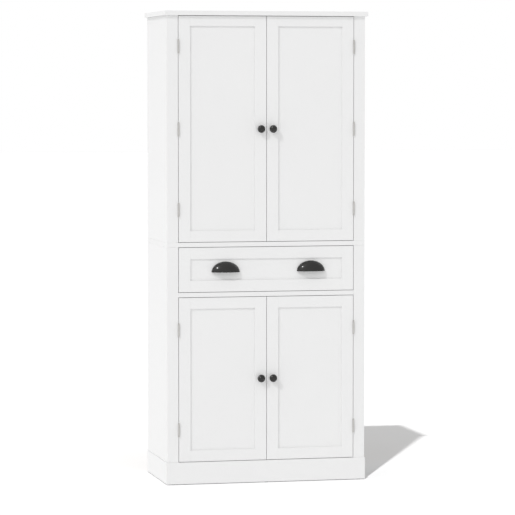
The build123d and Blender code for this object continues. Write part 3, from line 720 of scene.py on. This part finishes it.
def knob_outline(knobs, radius, length):
    """The knob's half section from the door to its tip."""
    rim = length * knobs.rim_share
    swell = knobs.base_radius - knobs.neck_radius
    opening = radius - knobs.bead / 2 - knobs.neck_radius
    neck = rim - 2 * knobs.bead - knobs.foot
    outline = [(0, 0), (knobs.base_radius, 0), (knobs.base_radius, knobs.foot)]
    for step in range(1, knobs.rows + 1):
        share = step / knobs.rows
        width = knobs.neck_radius + (1 - share) ** 2 * swell + share ** knobs.flare * opening
        outline.append((width, knobs.foot + neck * share))
    bead_centre = (radius - knobs.bead, rim - knobs.bead)
    outline += arc(bead_centre, (knobs.bead, knobs.bead), BEAD_START, BEAD_END, knobs.rows)
    width, reach = outline[-1]
    dome = arc((0, reach), (width, length - reach), 0, 90, knobs.rows)
    return outline + dome[1:-1] + [(0, length)]


def closed_seam(outline):
    """An outline without points on top of each other."""
    kept = [outline[0]]
    for point in outline[1:]:
        if math.dist(point, kept[-1]) > WELD:
            kept.append(point)
    return kept


def add_knobs(material):
    """A turned knob for each door."""
    knobs = bpy.context.scene.cabinet_knobs
    for door in DOORS:
        node = f"{door}_knob"
        low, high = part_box(node)
        origin = Vector(((low.x + high.x) / 2, high.y, (low.z + high.z) / 2))
        outline = closed_seam(knob_outline(knobs, (high.x - low.x) / 2, high.y - low.y))
        add_piece(f"{node}_turned", lathe(outline, knobs.steps, origin), door, node, material)


def cup_skin(shape, origin, size, across, rise):
    """Rows of corners on a quarter of an egg shape, from its mouth up to the wall."""
    rows = []
    for step in range(rise + 1):
        turn = math.pi / 2 * step / rise
        row = []
        for place in range(across + 1):
            along = math.pi * place / across
            ring = math.sin(along)
            point = Vector((-math.cos(along), -ring * math.cos(turn), ring * math.sin(turn)))
            row.append(shape.verts.new(origin + size * point))
        rows.append(row)
    return rows


def add_strip(shape, first, second):
    """Faces between two rows of corners."""
    for place in range(len(first) - 1):
        shape.faces.new([first[place], first[place + 1], second[place + 1], second[place]])


def cup_shell(pulls, origin, size):
    """The thin cup: an outer and an inner skin, joined along the mouth and against the drawer."""
    shape = bmesh.new()
    inside = size - Vector((pulls.wall, pulls.wall, pulls.wall))
    outer = cup_skin(shape, origin, size, pulls.columns, pulls.rows)
    inner = cup_skin(shape, origin, inside, pulls.columns, pulls.rows)
    for low, high in zip(outer, outer[1:]):
        add_strip(shape, low, high)
    for low, high in zip(inner, inner[1:]):
        add_strip(shape, high, low)
    add_strip(shape, inner[0], outer[0])
    add_strip(shape, outer[-1], inner[-1])
    bmesh.ops.remove_doubles(shape, verts=shape.verts, dist=WELD)
    return shape


def add_cup_pulls(material):
    """A cup pull with a rolled lip and two bolt posts in place of each plain one."""
    pulls = bpy.context.scene.cabinet_pulls
    for node in PULLS:
        low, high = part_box(node)
        origin = Vector(((low.x + high.x) / 2, high.y, low.z))
        size = Vector(((high.x - low.x) / 2, high.y - low.y, high.z - low.z))
        parts = [cup_shell(pulls, origin, size)]
        end = (pulls.post_radius, pulls.post_length)
        outline = [(0, 0), (pulls.post_radius, 0), end, (0, pulls.post_length)]
        for side in (-1, 1):
            foot = origin + Vector((side * pulls.post_spacing / 2, 0, pulls.post_rise))
            parts.append(lathe(outline, pulls.columns // 2, foot))
        piece = add_piece(f"{node}_formed", gathered(parts), "drawer", node, material)
        rolled = piece.modifiers.new("Rolled lip", "BEVEL")
        rolled.width = pulls.lip
        rolled.segments = LIP_STEPS
        rolled.angle_limit = SHARP_ANGLE
        piece.modifiers.move(1, 0)


# Screws and bolts by a node tree

def tree_start(name, sizes):
    """A new geometry tree with its named size inputs, and the wire of its group input."""
    tree = bpy.data.node_groups.new(name, "GeometryNodeTree")
    tree.interface.new_socket("Geometry", in_out="INPUT", socket_type="NodeSocketGeometry")
    tree.interface.new_socket("Geometry", in_out="OUTPUT", socket_type="NodeSocketGeometry")
    for size in sizes:
        tree.interface.new_socket(size, in_out="INPUT", socket_type="NodeSocketFloat")
    tree.interface.new_socket("Finish", in_out="INPUT", socket_type="NodeSocketMaterial")
    return tree, Wire(tree), tree.nodes.new("NodeGroupInput")


def point_value(start, name, kind):
    """A value stored on the points."""
    return start.node("GeometryNodeInputNamedAttribute", {"Name": name}, data_type=kind)


def finish_tree(tree, start, group, parts):
    """Joins the parts, makes them real and gives them their finish."""
    joined = start.node("GeometryNodeJoinGeometry", {"Geometry": parts})
    real = start.node("GeometryNodeRealizeInstances", {"Geometry": joined})
    finish = Wire(tree, group.outputs["Finish"])
    done = start.node("GeometryNodeSetMaterial", {"Geometry": real, "Material": finish})
    start.feed(tree.nodes.new("NodeGroupOutput").inputs["Geometry"], done)
    return tree


def screw_tree():
    """A screw at every point: a head with a crossed recess and a shank of the point's length."""
    sizes = ("Face Radius", "Seat Radius", "Head Height", "Shank Radius", "Recess Depth", "Recess Width")
    tree, start, group = tree_start("Screws", sizes)
    face, seat, height, shank, depth, width = [Wire(tree, group.outputs[size]) for size in sizes]
    points = Wire(tree, group.outputs["Geometry"])
    into = point_value(start, "into", "FLOAT_VECTOR")
    length = point_value(start, "length", "FLOAT")
    turned = start.node("FunctionNodeAlignRotationToVector", {"Vector": into}, axis="Z")
    cone = start.node(
        "GeometryNodeMeshCone",
        {"Vertices": HEAD_SIDES, "Radius Bottom": face, "Radius Top": seat, "Depth": height},
        output="Mesh",
    )
    slots = []
    for along in ("X", "Y"):
        size = {"X": width, "Y": width, "Z": depth * 2}
        size[along] = face * SLOT_REACH
        box = start.node("ShaderNodeCombineXYZ", size)
        slots.append(start.node("GeometryNodeMeshCube", {"Size": box}, output="Mesh"))
    head = start.node(
        "GeometryNodeMeshBoolean", {"Mesh 1": cone, "Mesh 2": slots}, output="Mesh",
        operation="DIFFERENCE", solver="EXACT",
    )
    rod = start.node(
        "GeometryNodeMeshCone",
        {
            "Vertices": SHANK_SIDES, "Radius Bottom": shank, "Radius Top": shank * SHANK_END_SHARE,
            "Depth": 1.0,
        },
        output="Mesh",
    )
    stretch = start.node("ShaderNodeCombineXYZ", {"X": 1.0, "Y": 1.0, "Z": length})
    heads = {"Points": points, "Instance": head, "Rotation": turned}
    rods = {"Points": points, "Instance": rod, "Rotation": turned, "Scale": stretch}
    parts = [start.node("GeometryNodeInstanceOnPoints", inputs) for inputs in (heads, rods)]
    return finish_tree(tree, start, group, parts)


def points_object(name, places):
    """A loose point for each place, which holds its direction and length."""
    mesh = bpy.data.meshes.new(name)
    mesh.from_pydata([place for place, into, length in places], [], [])
    mesh.attributes.new("into", "FLOAT_VECTOR", "POINT")
    mesh.attributes.new("length", "FLOAT", "POINT")
    for number, (place, into, length) in enumerate(places):
        mesh.attributes["into"].data[number].vector = into
        mesh.attributes["length"].data[number].value = length
    holder = bpy.data.objects.new(name, mesh)
    bpy.context.scene.collection.objects.link(holder)
    return holder


def grown_mesh(name, places, tree, values):
    """The plain mesh that a node tree makes on some points."""
    holder = points_object(name, places)
    modifier = holder.modifiers.new(name, "NODES")
    modifier.node_group = tree
    for item in tree.interface.items_tree:
        if item.name in values:
            modifier[item.identifier] = values[item.name]
    graph = bpy.context.evaluated_depsgraph_get()
    mesh = bpy.data.meshes.new_from_object(holder.evaluated_get(graph))
    holder.modifiers.remove(modifier)
    bpy.data.objects.remove(holder)
    return mesh


def screw_place(corners):
    """A screw's head centre, its direction, its length and its head's radius."""
    low, high = span(corners)
    size = high - low
    axis = max(range(3), key=lambda number: size[number])
    middle = (low + high) / 2
    near_low = [corner for corner in corners if corner[axis] < low[axis] + NEAR_END]
    flat = middle.copy()
    flat[axis] = low[axis]
    head_low = max((corner - flat).length for corner in near_low) > HEAD_SHARE * min(size)
    into = Vector((0, 0, 0))
    into[axis] = 1 if head_low else -1
    place = middle.copy()
    place[axis] = low[axis] if head_low else high[axis]
    return place, into, size[axis], min(size) / 2


def screw_values(radius, material):
    """The node tree's values for the screws or bolts whose heads have this radius."""
    bolts = radius > BOLT_HEADS_FROM
    screws = bpy.context.scene.cabinet_screws
    values = {size: radius * share for size, share in (BOLT_HEAD if bolts else SCREW_HEAD).items()}
    values["Head Height"] = BOLT_HEAD_HEIGHT if bolts else SCREW_HEAD_HEIGHT
    values["Recess Depth"] = screws.recess_depth
    values["Recess Width"] = screws.recess_width
    values["Finish"] = material
    return values


def fixings_shape(tree, node, material):
    """The screws and bolts of a node with real heads, and its plates with eased edges."""
    groups = {}
    plates = []
    for solid in separate_solids(node):
        corners = [corner.co.copy() for corner in solid.verts]
        low, high = span(corners)
        sides = sorted(high - low)
        if sides[1] > ROUND_SHARE * sides[0]:
            flat_faces(solid)
            ease_edges(solid, bpy.context.scene.cabinet_screws.plate_edge)
            plates.append(solid)
            continue
        solid.free()
        place, into, length, radius = screw_place(corners)
        groups.setdefault(round(radius / MM, 1), []).append((place, into, length))
    grown = []
    for size, places in groups.items():
        grown.append(grown_mesh(f"{node}_{size}", places, tree, screw_values(size * MM, material)))
    joined = gathered(plates)
    for mesh in grown:
        joined.from_mesh(mesh)
    return joined


# Operators

class PieceOperator:
    """What the operators of this add-on share."""

    bl_options = {"REGISTER", "UNDO"}


class CABINET_OT_case_boards(PieceOperator, bpy.types.Operator):
    """Make the eased boards of the case"""

    bl_idname = "cabinet.case_boards"
    bl_label = "Case boards"

    def execute(self, context):
        paint = context.scene.cabinet_paint
        for node in PAINTED_CASE:
            radius = paint.frame_edge_radius if node.endswith("stile") else paint.edge_radius
            add_eased_piece(node, "case", radius, finish("white_paint"))
        for node in PLAIN_CASE:
            add_eased_piece(node, "case", paint.frame_edge_radius, finish(SLOTS[node]))
        return {"FINISHED"}


class CABINET_OT_doors(PieceOperator, bpy.types.Operator):
    """Make the frames and panels of the four doors"""

    bl_idname = "cabinet.doors"
    bl_label = "Doors"

    def execute(self, context):
        radius = context.scene.cabinet_paint.frame_edge_radius
        for door in DOORS:
            for part in ("frame", "panel"):
                add_eased_piece(f"{door}_{part}", door, radius, finish("white_paint"))
        return {"FINISHED"}


class CABINET_OT_drawer(PieceOperator, bpy.types.Operator):
    """Make the drawer's framed front and its box"""

    bl_idname = "cabinet.drawer"
    bl_label = "Drawer"

    def execute(self, context):
        radius = context.scene.cabinet_paint.frame_edge_radius
        for node in ("drawer_front_frame", "drawer_front_panel"):
            add_eased_piece(node, "drawer", radius, finish("white_paint"))
        for node in ("drawer_box_front", "drawer_box_back"):
            add_eased_piece(node, "drawer", radius, finish("drawer_ends"))
        add_eased_piece("drawer_box_sides", "drawer", radius, finish("drawer_board"))
        add_eased_piece("drawer_bottom", "drawer", radius, finish("backing_board"))
        return {"FINISHED"}


class CABINET_OT_handles(PieceOperator, bpy.types.Operator):
    """Make the turned knobs and the cup pulls"""

    bl_idname = "cabinet.handles"
    bl_label = "Knobs and cup pulls"

    def execute(self, context):
        add_knobs(finish("black_metal"))
        add_cup_pulls(finish("black_metal"))
        return {"FINISHED"}


class CABINET_OT_hardware(PieceOperator, bpy.types.Operator):
    """Make the hinges, shelf pins, catches, glides, dowels and runners"""

    bl_idname = "cabinet.hardware"
    bl_label = "Hardware"

    def execute(self, context):
        bodies = {node: body for body, nodes in BODIES.items() for node in nodes}
        for node, radius in HARDWARE_EDGES.items():
            add_eased_piece(node, bodies[node], radius, finish(SLOTS[node]))
        return {"FINISHED"}


class CABINET_OT_screws(PieceOperator, bpy.types.Operator):
    """Make the screws and bolts with their crossed heads"""

    bl_idname = "cabinet.screws"
    bl_label = "Screws and bolts"

    def execute(self, context):
        steel = finish("zinc_steel")
        tree = screw_tree()
        nodes = {"case_screws": "case", "drawer_screws": "drawer"}
        nodes.update({f"{door}_fixings": door for door in DOORS})
        for node, body in nodes.items():
            shape = fixings_shape(tree, node, steel)
            add_piece(f"{node}_driven", shape, body, node, steel)
        return {"FINISHED"}


class CABINET_OT_stage(PieceOperator, bpy.types.Operator):
    """Make the floor, the lights and the camera"""

    bl_idname = "cabinet.stage"
    bl_label = "Stage"

    def execute(self, context):
        stage = context.scene.cabinet_stage
        floor = add_floor()
        add_world(stage)
        key = add_sun("key_light", stage.key, stage.key_direction, stage.key_width)
        sun = add_sun("shadow_light", stage.sun, stage.sun_direction, stage.sun_width)
        light_only(key, floor, "EXCLUDE")
        light_only(sun, floor, "INCLUDE")
        add_camera(stage)
        context.scene.view_settings.view_transform = "Standard"
        return {"FINISHED"}


def add_floor():
    """A plain pale floor under the cabinet."""
    mesh = bpy.data.meshes.new("floor")
    near, far = -FLOOR_REACH, 2 * FLOOR_REACH
    corners = [(near, near, 0), (-near, near, 0), (-near, far, 0), (near, far, 0)]
    mesh.from_pydata(corners, [], [range(len(corners))])
    floor = bpy.data.objects.new("floor", mesh)
    bpy.context.scene.collection.objects.link(floor)
    new_material("floor", Base_Color=tinted(FLOOR_COLOUR), Roughness=0.9, Specular_IOR_Level=0.0)
    mesh.materials.append(bpy.data.materials["floor"])
    return floor


def add_world(stage):
    """A white surround whose light is a little stronger from the left."""
    world = bpy.data.worlds.new("studio")
    bpy.context.scene.world = world
    world.use_nodes = True
    world.node_tree.nodes.clear()
    start = Wire(world.node_tree)
    direction = start.node("ShaderNodeTexCoord", output="Generated")
    side = start.node("ShaderNodeSeparateXYZ", {"Vector": direction}, output="X")
    strength = stage.fill - side * stage.side_shade
    seen = start.node("ShaderNodeLightPath", output="Is Camera Ray")
    light = start.node("ShaderNodeBackground", {"Color": WHITE, "Strength": strength})
    white = start.node("ShaderNodeBackground", {"Color": WHITE, "Strength": 1.0})
    inputs = {"Fac": seen, "Shader": light, "Shader_001": white}
    shader = start.node("ShaderNodeMixShader", inputs)
    start.feed(world.node_tree.nodes.new("ShaderNodeOutputWorld").inputs["Surface"], shader)


def add_sun(name, strength, direction, width):
    """A sun whose light goes along a direction."""
    light = bpy.data.lights.new(name, "SUN")
    light.energy = strength
    light.angle = width
    sun = bpy.data.objects.new(name, light)
    sun.rotation_mode = "QUATERNION"
    sun.rotation_quaternion = Vector(direction).to_track_quat("-Z", "Y")
    bpy.context.scene.collection.objects.link(sun)
    return sun


def light_only(sun, floor, state):
    """Lets a sun light only the floor, or everything but the floor."""
    receivers = bpy.data.collections.new(f"{sun.name}_receivers")
    receivers.objects.link(floor)
    receivers.collection_objects[0].light_linking.link_state = state
    sun.light_linking.receiver_collection = receivers


def add_camera(stage):
    """The camera, turned round its aim on the front."""
    camera = bpy.data.objects.new("camera", bpy.data.cameras.new("camera"))
    bpy.context.scene.collection.objects.link(camera)
    camera.data.lens = stage.lens
    flat = math.cos(stage.elevation)
    back = Vector((
        math.sin(stage.azimuth) * flat, -math.cos(stage.azimuth) * flat, math.sin(stage.elevation),
    ))
    camera.location = Vector(stage.aim) + back * stage.distance
    camera.rotation_mode = "QUATERNION"
    camera.rotation_quaternion = (-back).to_track_quat("-Z", "Y")
    bpy.context.scene.camera = camera


class CABINET_PT_sidebar(bpy.types.Panel):
    """The cabinet's pieces and settings"""

    bl_idname = "CABINET_PT_sidebar"
    bl_label = "Pantry cabinet"
    bl_space_type = "VIEW_3D"
    bl_region_type = "UI"
    bl_category = "Cabinet"

    def draw(self, context):
        for operator in OPERATORS:
            self.layout.operator(operator.bl_idname)
        for name, settings in SETTINGS.items():
            box = self.layout.box()
            for value in settings.__annotations__:
                box.prop(getattr(context.scene, name), value)


OPERATORS = (
    CABINET_OT_case_boards,
    CABINET_OT_doors,
    CABINET_OT_drawer,
    CABINET_OT_handles,
    CABINET_OT_hardware,
    CABINET_OT_screws,
    CABINET_OT_stage,
)


def register():
    """Registers the settings, operators and panel."""
    for name, settings in SETTINGS.items():
        bpy.utils.register_class(settings)
        setattr(bpy.types.Scene, name, bpy.props.PointerProperty(type=settings))
    for made in (*OPERATORS, CABINET_PT_sidebar):
        bpy.utils.register_class(made)


def unregister():
    """Takes away what register added."""
    for made in (CABINET_PT_sidebar, *OPERATORS):
        bpy.utils.unregister_class(made)
    for name, settings in SETTINGS.items():
        delattr(bpy.types.Scene, name)
        bpy.utils.unregister_class(settings)


def main():
    """Makes everything."""
    register()
    bpy.ops.cabinet.case_boards()
    bpy.ops.cabinet.doors()
    bpy.ops.cabinet.drawer()
    bpy.ops.cabinet.handles()
    bpy.ops.cabinet.hardware()
    bpy.ops.cabinet.screws()
    bpy.ops.cabinet.stage()


if __name__ == "__main__":
    main()
